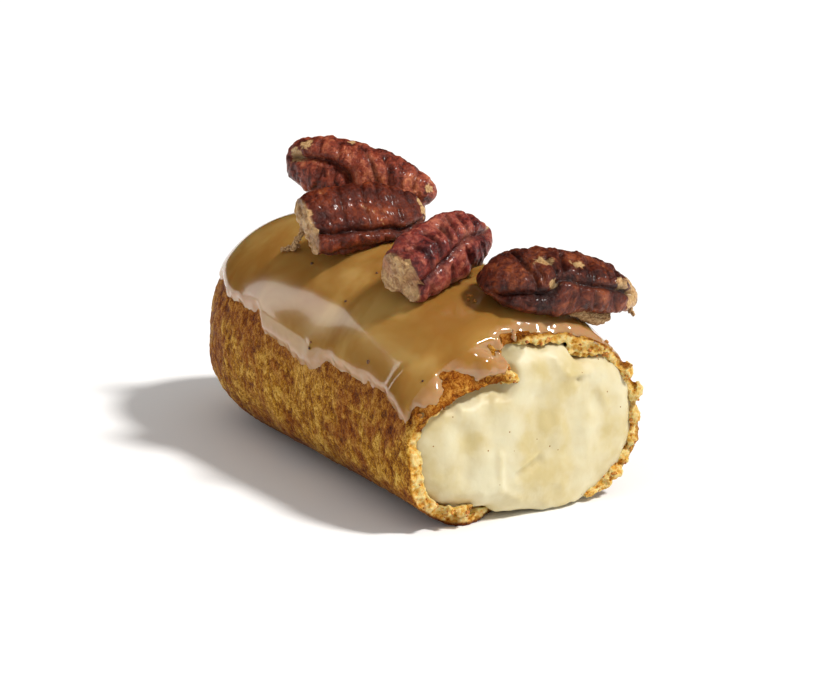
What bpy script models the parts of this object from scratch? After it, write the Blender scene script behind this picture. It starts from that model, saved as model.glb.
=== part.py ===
"""The uncut half of a filled choux eclair, iced with caramel fondant and topped with four pecan halves.

X runs across the eclair, Y along it and Z up. The cut end faces -Y and the round end +Y.
The origin is on the flat underside, midway along and across the piece.
Lengths are in metres. Angles round the eclair count from +X (its right side) over the top to -X (its left).
"""

import math

import bmesh
import bpy
from mathutils import Euler, Vector, noise
from mathutils.bvhtree import BVHTree

MM = 0.001
GAP = 0.3 * MM

# Choux case
LENGTH = 86 * MM
CUT_WIDTH = 45 * MM
CUT_HEIGHT = 30.1 * MM
TALL_WIDTH = 41.4 * MM
TALL_HEIGHT = 37.2 * MM
TALL_PLACE = 24 * MM
DOME_LENGTH = 28 * MM
SIDE_LEVEL = 0.44
TOP_ROUNDNESS = 2.17
LOWER_LEFT_ROUNDNESS = 3.0
LOWER_RIGHT_ROUNDNESS = 2.4
DOME_ROUNDNESS = 2.16
PRESSED_FLAT = 0.5 * MM
PRESSED_ENDS = 0.8 * MM
PRESSED_MIDDLE = -12 * MM
PRESSED_REACH = 29 * MM
PRESSED_HEIGHT = 3 * MM
WALL = 2.4 * MM
WALL_VARIATION = 0.25
THICKEST_ANGLE = 190
LUMP_HEIGHT = 0.45 * MM
LUMP_SIZE = 11 * MM
CRAG_DEPTH = 0.55 * MM
CRAG_SIZE = 4.5 * MM
FRONT = -LENGTH / 2
DOME_START = LENGTH / 2 - DOME_LENGTH

# Cut end: the crust folded over at the upper left, and torn away underneath
FOLD_ANGLE = 113
FOLD_SPREAD_LEFT = 60
FOLD_SPREAD_TOP = 14
FOLD_REACH = 9.8 * MM
FOLD_TURN = math.radians(84)
FOLD_BEND = 6 * MM
FOLD_SETBACK = 2.8 * MM
FOLD_THICKNESS = 1.7 * MM
NOTCH_ANGLE = 101
NOTCH_SPREAD = 9
NOTCH_DEPTH = 2.4 * MM
TEAR_ANGLE = 279
TEAR_SPREAD = 29
TEAR_SETBACK = 6 * MM
RAGGED_COARSE = 0.6 * MM
RAGGED_FINE = 0.45 * MM
LIP = 1 * MM

# Cream
CREAM_GAP = 0.42 * MM
CREAM_SET_FORWARD = 0.7 * MM
CREAM_BULGE = 2.4 * MM
CREAM_LOW_BULGE = 1.8 * MM
CREAM_SAG = 2.1 * MM
CREAM_EDGE = 0.8 * MM
CREAM_DIMPLE = 0.4 * MM
CREAM_DIMPLE_SIZE = 5 * MM
TUCK_DEPTH = 8 * MM
TUCK_AROUND = 1.9 * MM
FACING_BACK = 0.35

# Icing
ICING_THICKNESS = 1.3 * MM
ICING_HALF_SPAN = 70
ICING_NARROWING = 2
ICING_SAG = 6
ICING_SAG_SPREAD = 0.4
ICING_FRONT_SETBACK = 1.4 * MM
ICING_ON_FOLD = 6.5 * MM
ICING_FOLD_ANGLE = 143
ICING_FOLD_SPREAD = 29
ICING_FOLD_GAP = 0.25 * MM
ICING_DOME_REACH = 0.42
ICING_WAVE = 0.018

# Pecan halves: length, width, thickness, heading from +X towards +Y, nose-up tilt, roll, broken share, place
PECAN_GROOVE = 0.26
PECAN_GROOVE_ANGLE = 34
PECAN_GROOVE_SPREAD = 17
PECAN_CHANNEL = 0.3
PECAN_CHANNEL_SPREAD = 32
PECAN_WRINKLE = 0.06
PECAN_WRINKLE_PITCH = 4.6 * MM
PECAN_DROOP = 1.2 * MM
PECANS = {
    "pecan_front": dict(size=(28.8, 14.6, 9.3), heading=-9, tilt=-13, roll=13, broken=0, place=(11.2, -37.1)),
    "pecan_middle": dict(size=(24.2, 10.2, 10.4), heading=11, tilt=15, roll=16, broken=0.14, place=(-4.7, -24.8)),
    "pecan_left": dict(size=(27.2, 13.3, 7), heading=-7, tilt=4, roll=44, broken=0.16, place=(-6.4, -1.9)),
    "pecan_back": dict(size=(28.3, 11.6, 9.4), heading=-44, tilt=-14, roll=82, broken=0, place=(7.5, 19.4)),
}

# Facets, and the share of the case's rings that lies before its round end
STRAIGHT_SHARE = 0.55
CASE_SEGMENTS, CASE_RINGS = 52, 38
CREAM_SEGMENTS, CREAM_RINGS = 52, 24
ICING_SEGMENTS, ICING_RINGS = 52, 24
PECAN_SEGMENTS, PECAN_RINGS = 24, 19


def smoothstep(low, high, value):
    share = min(1.0, max(0.0, (value - low) / (high - low)))
    return share * share * (3 - 2 * share)


def window(angle, middle, spread):
    """1 at the middle angle, falling smoothly to 0 at the spread on either side, in degrees."""
    off = (angle - middle + 180) % 360 - 180
    return max(0.0, 1 - (off / spread) ** 2) ** 2


def signed_power(value, power):
    return math.copysign(abs(value) ** power, value)


def swell(y):
    """0 at the cut end and 1 where the eclair is tallest."""
    return 1 - ((y - TALL_PLACE) / (LENGTH / 2 + TALL_PLACE)) ** 2


def wall_at(angle):
    """Thickness of the crust, most at the lower left and least at the right."""
    return WALL * (1 + WALL_VARIATION * math.cos(math.radians(angle - THICKEST_ANGLE)))


def fold_amount(angle):
    """1 where the crust folds over the most, 0 where it stays straight."""
    spread = FOLD_SPREAD_LEFT if angle > FOLD_ANGLE else FOLD_SPREAD_TOP
    return window(angle, FOLD_ANGLE, spread) ** 0.6


def rim_place(angle):
    """Y of the crust's cut edge: uneven, folded over at the upper left and torn away below."""
    coarse = RAGGED_COARSE * math.sin(math.radians(5 * angle))
    fine = RAGGED_FINE * math.sin(math.radians(11 * angle + 40))
    return (
        FRONT
        + (coarse + fine) * (1 - fold_amount(angle))
        + FOLD_SETBACK * fold_amount(angle)
        + TEAR_SETBACK * window(angle, TEAR_ANGLE, TEAR_SPREAD)
        + NOTCH_DEPTH * window(angle, NOTCH_ANGLE, NOTCH_SPREAD)
    )


def dome_share(y, depth):
    """How much of the full section is left at Y, as the round end closes."""
    beyond = min(1.0, max(0.0, (y - DOME_START) / (DOME_LENGTH - depth)))
    return (1 - beyond**DOME_ROUNDNESS) ** (1 / DOME_ROUNDNESS)


def section_point(y, angle, depth):
    """A point of the eclair's section at Y, a depth inside its smooth outer surface."""
    grown = swell(y)
    half = (CUT_WIDTH + (TALL_WIDTH - CUT_WIDTH) * grown) / 2 - depth
    top = CUT_HEIGHT + (TALL_HEIGHT - CUT_HEIGHT) * grown
    level = SIDE_LEVEL * top
    share = dome_share(y, depth)
    across, up = math.cos(math.radians(angle)), math.sin(math.radians(angle))
    if up >= 0:
        roundness = TOP_ROUNDNESS
        rise = (top - depth - level) * abs(up) ** (2 / roundness)
    else:
        roundness = LOWER_LEFT_ROUNDNESS if across < 0 else LOWER_RIGHT_ROUNDNESS
        rise = -(level - depth) * abs(up) ** (2 / roundness)
    x = half * share * signed_power(across, 2 / roundness)
    return Vector((x, y, max(level + rise * share - PRESSED_FLAT, depth)))


def outward(point, angle):
    """The direction away from the eclair's middle line, leaning back on the round end."""
    along = min(1.0, max(0.0, point.y - DOME_START) / DOME_LENGTH)
    radial = Vector((math.cos(math.radians(angle)), 0, math.sin(math.radians(angle))))
    return (radial * math.sqrt(max(0.02, 1 - along**2)) + Vector((0, along, 0))).normalized()


def lumps(point):
    """Height of the broad lumps on the baked case, none on the underside."""
    return LUMP_HEIGHT * noise.noise(point / LUMP_SIZE) * smoothstep(0, 5 * MM, point.z)


def crags(point):
    """Depth of the small hollows of the bare crust, none under the icing or on the underside."""
    bare = smoothstep(0.3 * MM, 4 * MM, point.z) * (1 - smoothstep(0.42, 0.56, point.z / TALL_HEIGHT))
    return CRAG_DEPTH * bare * max(0.0, noise.noise(point / CRAG_SIZE + Vector((7.3, 1.9, 4.1))))


def pressed_height(point):
    """Height of a point of the outer surface once the underside's flat is widened towards its two ends."""
    toward_ends = min(1.0, abs(point.y - PRESSED_MIDDLE) / PRESSED_REACH) ** 2
    return max(0.0, point.z - PRESSED_ENDS * toward_ends * (1 - smoothstep(0, PRESSED_HEIGHT, point.z)))


def wall_point(back, angle, depth):
    """A point on the case: back is 0 at the cut edge and 1 at the tip of the round end."""
    if back < STRAIGHT_SHARE:
        rim = rim_place(angle)
        y = rim + (DOME_START - rim) * back / STRAIGHT_SHARE
    else:
        quarter = (back - STRAIGHT_SHARE) / (1 - STRAIGHT_SHARE) * math.pi / 2
        y = DOME_START + (DOME_LENGTH - depth) * math.sin(quarter)
    point = section_point(y, angle, depth)
    if depth < WALL / 2:
        point += outward(point, angle) * lumps(point)
        point.z = pressed_height(point)
    return point


def lip_point(reach, angle, depth):
    """A point past the cut edge: the crust runs forward, and at the upper left it bends over and lies on the cream."""
    turn = FOLD_TURN * min(1.0, 1.6 * fold_amount(angle))
    bent = turn * min(1.0, reach / FOLD_BEND)
    if turn > 1e-3:
        radius = FOLD_BEND / turn
        straight = max(0.0, reach - FOLD_BEND)
        forward = radius * math.sin(bent) + straight * math.cos(turn)
        inward = radius * (1 - math.cos(bent)) + straight * math.sin(turn)
    else:
        forward, inward = reach, 0.0
    edge = wall_point(0, angle, 0)
    middle = Vector((2 * MM, edge.y, SIDE_LEVEL * CUT_HEIGHT))
    to_middle = (middle - edge).normalized()
    ahead = Vector((0, -1, 0))
    below_surface = to_middle * math.cos(bent) - ahead * math.sin(bent)
    return edge + ahead * forward + to_middle * inward + below_surface * depth


def lip_reach(angle):
    return LIP + FOLD_REACH * fold_amount(angle)


def case_point(travel, angle):
    """Travel 0 to 1 goes from the round end's tip, over the outside and the lip, and back inside to the cavity's tip."""
    outside, tip, under = 0.46, 0.64, 0.74
    folded = fold_amount(angle)
    thickness = wall_at(angle) + (FOLD_THICKNESS - wall_at(angle)) * folded
    reach = lip_reach(angle)
    if travel <= outside:
        point = wall_point(1 - travel / outside, angle, 0)
        return point - outward(point, angle) * crags(point)
    if travel <= tip:
        return lip_point(reach * (travel - outside) / (tip - outside), angle, 0)
    if travel <= under:
        share = (travel - tip) / (under - tip)
        beneath = lip_point(reach * (1 - share), angle, thickness)
        return beneath.lerp(wall_point(0.02 + 0.03 * share, angle, wall_at(angle)), share**3)
    share = (travel - under) / (1 - under)
    return wall_point(0.05 + 0.95 * share, angle, wall_at(angle))


def cream_front(share, angle):
    """A point of the cream's bulging front: share is 0 at its edge and 1 at its middle."""
    edge_y = FRONT - CREAM_SET_FORWARD
    edge = section_point(edge_y + CREAM_EDGE, angle, wall_at(angle) + CREAM_GAP)
    middle = Vector((0.8 * MM, 0, 0.47 * CUT_HEIGHT))
    rounded = math.sin(min(1.0, share / 0.25) * math.pi / 2)
    inward = 1 - share**1.25
    x = middle.x + (edge.x - middle.x) * inward
    z = middle.z + (edge.z - middle.z) * inward
    low = 1 - smoothstep(2 * MM, 13 * MM, z)
    bulge = CREAM_BULGE * (0.3 + 0.7 * (1 - inward**2)) + CREAM_LOW_BULGE * low * (1 - inward**6)
    bulge += CREAM_DIMPLE * noise.noise(Vector((x, 0, z)) / CREAM_DIMPLE_SIZE)
    return Vector((x, edge_y + CREAM_EDGE * (1 - rounded) - bulge * rounded, z))


def cream_point(travel, angle):
    """Travel 0 to 1 goes from the cavity's tip, along the side, round the edge and to the middle of the front."""
    dome, side = 0.18, 0.44
    inset = wall_at(angle) + CREAM_GAP
    if travel < dome:
        y = DOME_START + (DOME_LENGTH - inset) * math.cos(travel / dome * math.pi / 2)
        point = section_point(y, angle, inset)
    elif travel <= side:
        front_edge = FRONT - CREAM_SET_FORWARD + CREAM_EDGE
        along = math.sin((travel - dome) / (side - dome) * math.pi / 2)
        point = section_point(DOME_START + (front_edge - DOME_START) * along, angle, inset)
    else:
        point = cream_front((travel - side) / (1 - side), angle)
    before_crust = rim_place(angle) - LIP - point.y
    drooping = window(angle, TEAR_ANGLE, TEAR_SPREAD) * smoothstep(0.4 * MM, 1.6 * MM, before_crust)
    near_floor = 1 - smoothstep(3 * MM, 9 * MM, point.z)
    point.z -= CREAM_SAG * drooping * near_floor
    return point


def icing_edge(turn):
    """How far the icing's edge lies from its middle in (across, along) shares: square in front and round behind."""
    across, along = abs(math.cos(turn)), math.sin(turn)
    squareness = 9 if along < 0 else 3.2
    edge = (across**squareness + abs(along) ** squareness) ** (-1 / squareness)
    return edge, across


def icing_point(travel, turn):
    """Travel 0 to 1 goes from the middle of the top, out to the rounded edge and back to the middle underneath."""
    outer = travel <= 0.5
    ring = travel * 2 if outer else (1 - travel) * 2
    spread = 1 - (1 - ring) ** 1.35
    edge, side = icing_edge(turn)
    waves = math.sin(5 * turn + 0.6) + 0.7 * math.sin(9 * turn + 2.0) + 0.4 * math.sin(16 * turn)
    across = spread * edge * math.cos(turn) * (1 + ICING_WAVE * waves * side * spread**2)
    along = spread * edge * math.sin(turn)
    sag = ICING_SAG * max(0.0, 1 - (along / ICING_SAG_SPREAD) ** 2)
    angle = 90 - (ICING_HALF_SPAN + sag - ICING_NARROWING * (along + 1) / 2) * across
    closed = (1 - ICING_DOME_REACH**DOME_ROUNDNESS) ** (1 / DOME_ROUNDNESS)
    last = STRAIGHT_SHARE + (1 - STRAIGHT_SHARE) * math.asin(closed) * 2 / math.pi
    rounding = math.sqrt(max(0.0, 1 - spread**8))
    to_rim = DOME_START - rim_place(angle)
    over_fold = window(angle, ICING_FOLD_ANGLE, ICING_FOLD_SPREAD) ** 0.6
    setback = ICING_FRONT_SETBACK - (ICING_FRONT_SETBACK + ICING_ON_FOLD) * over_fold
    lift = GAP + ICING_FOLD_GAP * over_fold + ICING_THICKNESS / 2
    lift += ICING_THICKNESS / 2 * rounding * (1 if outer else -1)
    first = STRAIGHT_SHARE * setback / to_rim
    back = first + (last - first) * (along + 1) / 2
    if back < 0:
        return lip_point(-back / STRAIGHT_SHARE * to_rim, angle, -lift)
    return wall_point(back, angle, -lift)


def pecan_point(travel, angle, size, broken):
    """A pecan half lying along X, round side up: two long grooves above, a channel below and cross wrinkles."""
    length, width, thickness = (value * MM for value in size)
    reach = math.cos(travel * math.pi)
    section = max(0.0, 1 - abs(reach) ** 2.5) ** 0.5
    x = length / 2 * reach
    across, up = math.cos(math.radians(angle)), math.sin(math.radians(angle))
    near = window(angle, PECAN_GROOVE_ANGLE, PECAN_GROOVE_SPREAD)
    far = window(angle, 180 - PECAN_GROOVE_ANGLE, PECAN_GROOVE_SPREAD)
    groove = PECAN_GROOVE * max(near, far) * (1 - 0.6 * reach**2)
    channel = PECAN_CHANNEL * window(angle, 270, PECAN_CHANNEL_SPREAD)
    wrinkle = PECAN_WRINKLE * math.sin(x / PECAN_WRINKLE_PITCH * 2 * math.pi + 3 * abs(across)) * max(0.0, up)
    grown = 1 - groove - channel + wrinkle
    height = thickness * (0.64 if up >= 0 else 0.36)
    y = width / 2 * (1 - 0.12 * reach) * section * across * grown
    z = height * section * signed_power(up, 0.9) * grown - PECAN_DROOP * reach**2
    if broken:
        stop = -length / 2 * (1 - 2 * broken)
        x = max(x, stop + 0.4 * MM * math.sin(math.radians(3 * angle)) * section)
    return Vector((x, y, z))


def clear_scene():
    for thing in list(bpy.data.objects):
        bpy.data.objects.remove(thing, do_unlink=True)


def food_material(name, colour, roughness):
    material = bpy.data.materials.new(name)
    material.use_nodes = True
    shader = material.node_tree.nodes["Principled BSDF"]
    shader.inputs["Base Color"].default_value = (*colour, 1)
    shader.inputs["Roughness"].default_value = roughness
    shader.inputs["Metallic"].default_value = 0
    material.diffuse_color = (*colour, 1)
    return material


def shaped_sphere(name, segments, rings, place, material, collection):
    """A UV sphere reshaped by place(travel, turn): travel runs 0 to 1 from pole to pole, turn is in radians."""
    shape = bmesh.new()
    bmesh.ops.create_uvsphere(shape, u_segments=segments, v_segments=rings, radius=1)
    moved = []
    for vertex in shape.verts:
        travel = math.acos(max(-1.0, min(1.0, vertex.co.z))) / math.pi
        turn = math.atan2(vertex.co.y, vertex.co.x) % (2 * math.pi)
        moved.append(place(travel, turn))
    for vertex, point in zip(shape.verts, moved):
        vertex.co = point
    bmesh.ops.triangulate(shape, faces=shape.faces[:])
    bmesh.ops.recalc_face_normals(shape, faces=shape.faces[:])
    if shape.calc_volume(signed=True) < 0:
        bmesh.ops.reverse_faces(shape, faces=shape.faces[:])
    mesh = bpy.data.meshes.new(name)
    shape.to_mesh(mesh)
    shape.free()
    mesh.shade_smooth()
    mesh.materials.append(material)
    made = bpy.data.objects.new(name, mesh)
    collection.objects.link(made)
    return made


def world_tree(thing):
    bpy.context.view_layer.update()
    points = [thing.matrix_world @ vertex.co for vertex in thing.data.vertices]
    return points, BVHTree.FromPolygons(points, [face.vertices[:] for face in thing.data.polygons])


def tuck_behind(cream, case):
    """Moves the cream's front back wherever crust that faces it lies before it or close beside it."""
    tree = world_tree(case)[1]
    around = [(0.0, 0.0)]
    for step in range(8):
        turn = math.radians(45 * step)
        around.append((TUCK_AROUND * math.cos(turn), TUCK_AROUND * math.sin(turn)))
    for vertex in cream.data.vertices:
        if vertex.co.y > FRONT + TUCK_DEPTH:
            continue
        for across, up in around:
            behind = Vector((vertex.co.x + across, FRONT + TUCK_DEPTH, vertex.co.z + up))
            spot, normal = tree.ray_cast(behind, Vector((0, -1, 0)))[:2]
            if spot is not None and normal.y > FACING_BACK:
                vertex.co.y = max(vertex.co.y, spot.y + GAP)


def settle(thing, others):
    """Lowers a thing from above until it is one gap away from what lies under it."""
    points, tree = world_tree(thing)
    room = math.inf
    for other in others:
        below, below_tree = world_tree(other)
        for point in points:
            hit = below_tree.ray_cast(point, Vector((0, 0, -1)))
            if hit[0] is not None:
                room = min(room, hit[3])
        for point in below:
            hit = tree.ray_cast(point, Vector((0, 0, 1)))
            if hit[0] is not None:
                room = min(room, hit[3])
    thing.location.z -= room - GAP


def add_pecans(material, collection, bed):
    """Each pecan half starts above the eclair and settles on the icing and on the pecans already there."""
    resting_on = [bed]
    for name, facts in PECANS.items():
        size, broken = facts["size"], facts["broken"]
        pecan = shaped_sphere(
            name,
            PECAN_SEGMENTS,
            PECAN_RINGS,
            lambda travel, turn: pecan_point(travel, math.degrees(turn), size, broken),
            material,
            collection,
        )
        turn = [math.radians(facts[key]) for key in ("roll", "tilt", "heading")]
        pecan.rotation_euler = Euler((turn[0], -turn[1], turn[2]), "XYZ")
        pecan.location = (facts["place"][0] * MM, facts["place"][1] * MM, 2 * TALL_HEIGHT)
        settle(pecan, resting_on)
        resting_on.append(pecan)


def build():
    clear_scene()
    parts = bpy.data.collections.new("pecan_eclair")
    bpy.context.scene.collection.children.link(parts)
    crust = food_material("baked_choux", (0.50, 0.23, 0.06), 0.65)
    custard = food_material("vanilla_cream", (0.86, 0.76, 0.42), 0.45)
    fondant = food_material("caramel_icing", (0.52, 0.33, 0.13), 0.18)
    kernel = food_material("pecan_skin", (0.20, 0.06, 0.03), 0.5)
    case = shaped_sphere(
        "choux_case",
        CASE_SEGMENTS,
        CASE_RINGS,
        lambda travel, turn: case_point(travel, math.degrees(turn)),
        crust,
        parts,
    )
    cream = shaped_sphere(
        "cream_filling",
        CREAM_SEGMENTS,
        CREAM_RINGS,
        lambda travel, turn: cream_point(travel, math.degrees(turn)),
        custard,
        parts,
    )
    tuck_behind(cream, case)
    icing = shaped_sphere("caramel_icing", ICING_SEGMENTS, ICING_RINGS, icing_point, fondant, parts)
    add_pecans(kernel, parts, icing)


build()
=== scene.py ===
# %% [markdown]
# # A pecan eclair, cut in half
# The piece is half of a filled choux eclair: a baked case full of vanilla cream, caramel icing
# over its top, and four pecan halves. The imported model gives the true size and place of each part.
# Each large piece below is grown from one of those parts or fitted to its box, and gets the fine
# shape and finish that the plain solids leave out. Crumbs and specks are added at the end.

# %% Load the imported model
import math
import random

import bpy
import numpy as np
from mathutils import Euler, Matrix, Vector
from mathutils.bvhtree import BVHTree


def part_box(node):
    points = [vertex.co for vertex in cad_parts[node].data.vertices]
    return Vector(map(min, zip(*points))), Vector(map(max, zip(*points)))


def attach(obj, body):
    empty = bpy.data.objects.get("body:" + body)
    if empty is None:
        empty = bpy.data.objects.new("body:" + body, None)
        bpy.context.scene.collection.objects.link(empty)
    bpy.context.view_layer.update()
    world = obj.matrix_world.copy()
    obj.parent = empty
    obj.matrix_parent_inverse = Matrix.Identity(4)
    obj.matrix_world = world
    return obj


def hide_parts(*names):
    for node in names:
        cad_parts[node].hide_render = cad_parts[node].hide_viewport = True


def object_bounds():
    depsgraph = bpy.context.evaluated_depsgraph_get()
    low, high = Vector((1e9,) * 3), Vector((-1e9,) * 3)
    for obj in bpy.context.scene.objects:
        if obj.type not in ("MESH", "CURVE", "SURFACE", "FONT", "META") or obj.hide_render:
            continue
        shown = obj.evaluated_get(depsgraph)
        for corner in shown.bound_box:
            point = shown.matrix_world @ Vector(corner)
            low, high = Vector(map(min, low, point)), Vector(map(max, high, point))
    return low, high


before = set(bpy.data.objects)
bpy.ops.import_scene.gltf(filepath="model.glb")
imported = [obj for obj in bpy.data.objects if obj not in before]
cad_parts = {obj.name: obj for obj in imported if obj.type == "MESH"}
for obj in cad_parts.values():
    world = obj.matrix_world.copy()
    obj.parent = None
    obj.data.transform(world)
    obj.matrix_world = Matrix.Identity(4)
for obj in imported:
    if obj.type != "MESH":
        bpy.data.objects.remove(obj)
cad_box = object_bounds()
MM = 0.001
print("parts:", ", ".join(sorted(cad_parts)))

# %% [markdown]
# ## Camera
# The photograph was taken with a long lens from a little above the table, in front of the cut end
# and to its left. The place and direction below were fitted to the eclair's outline. A rotation
# given as the direction that the camera looks back along is easier to check than three angles.

# %% Camera
VIEW_BACK = Vector((-0.51704582, -0.81410556, 0.26437805))
camera_data = bpy.data.cameras.new("camera")
camera_data.sensor_width = 36
camera_data.lens = 107.143
camera_data.clip_start = 0.01
camera_data.clip_end = 20
camera = bpy.data.objects.new("camera", camera_data)
bpy.context.scene.collection.objects.link(camera)
camera.location = (-0.21841, -0.35617, 0.13140)
camera.rotation_mode = "QUATERNION"
camera.rotation_quaternion = VIEW_BACK.to_track_quat("Z", "Y")
bpy.context.scene.camera = camera
print("camera is", round(camera.location.length, 3), "m from the middle of the underside")

# %% [markdown]
# ## Light and floor
# The shadow falls behind and to the left, so the key light is a lamp in front and to the right. Its
# rays are nearly parallel, as from a softbox some way off, and its angle sets how soft the shadow's
# edge is. A softbox behind the eclair leaves the pale patch on the icing's left slope. Even white
# surroundings fill the shadows, but the studio's dark walls are what gloss reflects, so the
# surroundings are hidden from reflections. With them, every glossy face would look milky.

# %% Light and floor
KEY_DIRECTION = Vector((0.50, -0.60, 1.0))
CARD_DIRECTION = Vector((-0.45, 0.84, 0.30))
CARD_DISTANCE = 1.0

key_data = bpy.data.lights.new("key_light", "SUN")
key_data.energy = 3.1
key_data.angle = 0.15
key_data.color = (1, 0.98, 0.95)
card_data = bpy.data.lights.new("back_card", "AREA")
card_data.shape = "RECTANGLE"
card_data.size, card_data.size_y = 0.125, 0.60
card_data.energy = 0.54
card_data.color = (1, 0.96, 0.92)
for light_data, direction in ((key_data, KEY_DIRECTION), (card_data, CARD_DIRECTION)):
    light = bpy.data.objects.new(light_data.name, light_data)
    bpy.context.scene.collection.objects.link(light)
    towards = direction.normalized()
    light.location = Vector((0, 0, 0.02)) + towards * CARD_DISTANCE
    light.rotation_mode = "QUATERNION"
    light.rotation_quaternion = towards.to_track_quat("Z", "Y")

world = bpy.data.worlds.new("studio")
bpy.context.scene.world = world
world.use_nodes = True
surroundings = world.node_tree.nodes["Background"]
surroundings.inputs["Color"].default_value = (1, 0.98, 0.96, 1)
surroundings.inputs["Strength"].default_value = 0.49
world.cycles_visibility.glossy = False
bpy.context.scene.view_settings.view_transform = "Standard"

bpy.ops.object.select_all(action="DESELECT")
bpy.ops.mesh.primitive_plane_add(size=8, location=(0, 0, -0.0001))
floor = bpy.context.active_object
floor.name = "floor"
floor_paint = bpy.data.materials.new("white_table")
floor_paint.use_nodes = True
floor_shader = floor_paint.node_tree.nodes["Principled BSDF"]
floor_shader.inputs["Base Color"].default_value = (0.95, 0.95, 0.95, 1)
floor_shader.inputs["Roughness"].default_value = 0.75
floor.data.materials.append(floor_paint)

# %% [markdown]
# ## Working on meshes
# A few helpers serve every piece. One makes a fresh copy of a part, welded so that it is a closed
# skin. Others read and write all of a mesh's points at once as an array, which is much faster than
# visiting them one by one, and store a number at each point that a material can read later.

# %% Helpers for meshes
WELD_DISTANCE = 0.002 * MM
WEIGHT_STEPS = 10


def pick(thing):
    """Selects one object alone, because an operator acts on all that is selected."""
    bpy.ops.object.select_all(action="DESELECT")
    thing.select_set(True)
    bpy.context.view_layer.objects.active = thing


def edit(thing, *steps):
    """Runs edit-mode steps on one object: each step is an operator and its settings."""
    pick(thing)
    bpy.ops.object.mode_set(mode="EDIT")
    for operator, settings in steps:
        operator(**settings)
    bpy.ops.object.mode_set(mode="OBJECT")


def welded_copy(part, name):
    """A new object with a part's shape, its loose triangles merged into one skin."""
    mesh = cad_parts[part].data.copy()
    mesh.materials.clear()
    piece = bpy.data.objects.new(name, mesh)
    bpy.context.scene.collection.objects.link(piece)
    edit(
        piece,
        (bpy.ops.mesh.select_all, dict(action="SELECT")),
        (bpy.ops.mesh.remove_doubles, dict(threshold=WELD_DISTANCE)),
    )
    return piece


def apply_modifier(piece, kind, **settings):
    """Adds a modifier, sets it and applies it at once."""
    pick(piece)
    modifier = piece.modifiers.new(kind.lower(), kind)
    for key, value in settings.items():
        setattr(modifier, key, value)
    bpy.ops.object.modifier_apply(modifier=modifier.name)


def smooth_by(piece, weights, iterations):
    """Smooths a piece strongly where an array of weights is 1 and not at all where it is 0."""
    group = piece.vertex_groups.new(name="smooth")
    for level in range(1, WEIGHT_STEPS + 1):
        chosen = np.nonzero(np.round(weights * WEIGHT_STEPS) == level)[0]
        if len(chosen):
            group.add([int(index) for index in chosen], level / WEIGHT_STEPS, "REPLACE")
    apply_modifier(piece, "SMOOTH", factor=0.8, iterations=iterations, vertex_group="smooth")
    piece.vertex_groups.clear()


def select_faces(piece, chosen):
    """Selects the faces that an array of True and False names, for edit mode to act on."""
    piece.data.vertices.foreach_set("select", np.zeros(len(piece.data.vertices), bool))
    piece.data.edges.foreach_set("select", np.zeros(len(piece.data.edges), bool))
    piece.data.polygons.foreach_set("select", np.asarray(chosen, bool))


def read(items, name, wide):
    """One value, or a row of several, for each point or face of a mesh."""
    flat = np.zeros(len(items) * wide)
    items.foreach_get(name, flat)
    return flat.reshape(-1, wide) if wide > 1 else flat


def points_of(piece):
    return read(piece.data.vertices, "co", 3)


def normals_of(piece):
    return read(piece.data.vertices, "normal", 3)


def centres_of(piece):
    return read(piece.data.polygons, "center", 3)


def pushed_out(piece, distance):
    """A piece's points, each moved out along its normal by a distance."""
    return points_of(piece) + normals_of(piece) * distance[:, None]


def move_points(piece, points):
    piece.data.vertices.foreach_set("co", np.asarray(points, float).ravel())
    piece.data.update()


def store(piece, name, values):
    """Keeps one number at each point, for a material to read."""
    attribute = piece.data.attributes.new(name, "FLOAT", "POINT")
    attribute.data.foreach_set("value", np.asarray(values, np.float32))


def ease(low, high, values):
    """0 up to low, 1 from high, and a smooth rise between."""
    share = np.clip((np.asarray(values, float) - low) / (high - low), 0, 1)
    return share * share * (3 - 2 * share)


def report(piece):
    low, high = points_of(piece).min(0) * 1000, points_of(piece).max(0) * 1000
    print(piece.name, len(piece.data.polygons), "faces, from", low.round(1), "to", high.round(1), "mm")


def dress(piece, material, part):
    """Gives a finished piece its material and says what it is."""
    bpy.ops.object.select_all(action="DESELECT")
    piece.data.materials.clear()
    piece.data.materials.append(material)
    piece.data.shade_smooth()
    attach(piece, "root")
    if part:
        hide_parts(part)
    report(piece)


print("the packed case has", len(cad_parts["choux_case"].data.polygons), "faces")

# %% [markdown]
# ## Natural unevenness
# Baked and poured food has no straight edges, so most shapes below are nudged by noise. Smooth
# noise gives lumps and waves. Cell noise gives the distance to the nearest of many scattered
# points, which makes pits and bubbles. Both work on whole arrays of points at once and come out
# the same on every run.

# %% Noise on arrays of points
LATTICE = 32
ARROWS = np.random.default_rng(5).uniform(-1, 1, (LATTICE, LATTICE, LATTICE, 3))
SCATTER = np.random.default_rng(9).random((LATTICE, LATTICE, LATTICE, 3))
CORNERS = [(x, y, z) for x in (0, 1) for y in (0, 1) for z in (0, 1)]
NEIGHBOURS = [(x, y, z) for x in (-1, 0, 1) for y in (-1, 0, 1) for z in (-1, 0, 1)]


def waves(points, size, seed=0, octaves=1, roughness=0.5):
    """Smooth noise, about -1 to 1, with lumps of a size in metres."""
    total, share, spot = 0.0, 1.0, np.asarray(points) / size + seed * 11.37
    for _ in range(octaves):
        cell = np.floor(spot).astype(int)
        inside = spot - cell
        blend = inside**3 * (inside * (inside * 6 - 15) + 10)
        for corner in CORNERS:
            arrow = ARROWS[tuple(((cell + corner) % LATTICE).T)]
            weight = np.prod(np.where(corner, blend, 1 - blend), axis=1)
            total = total + share * 1.5 * weight * ((inside - corner) * arrow).sum(1)
        spot, share = spot * 2 + 5.3, share * roughness
    return total


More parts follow.
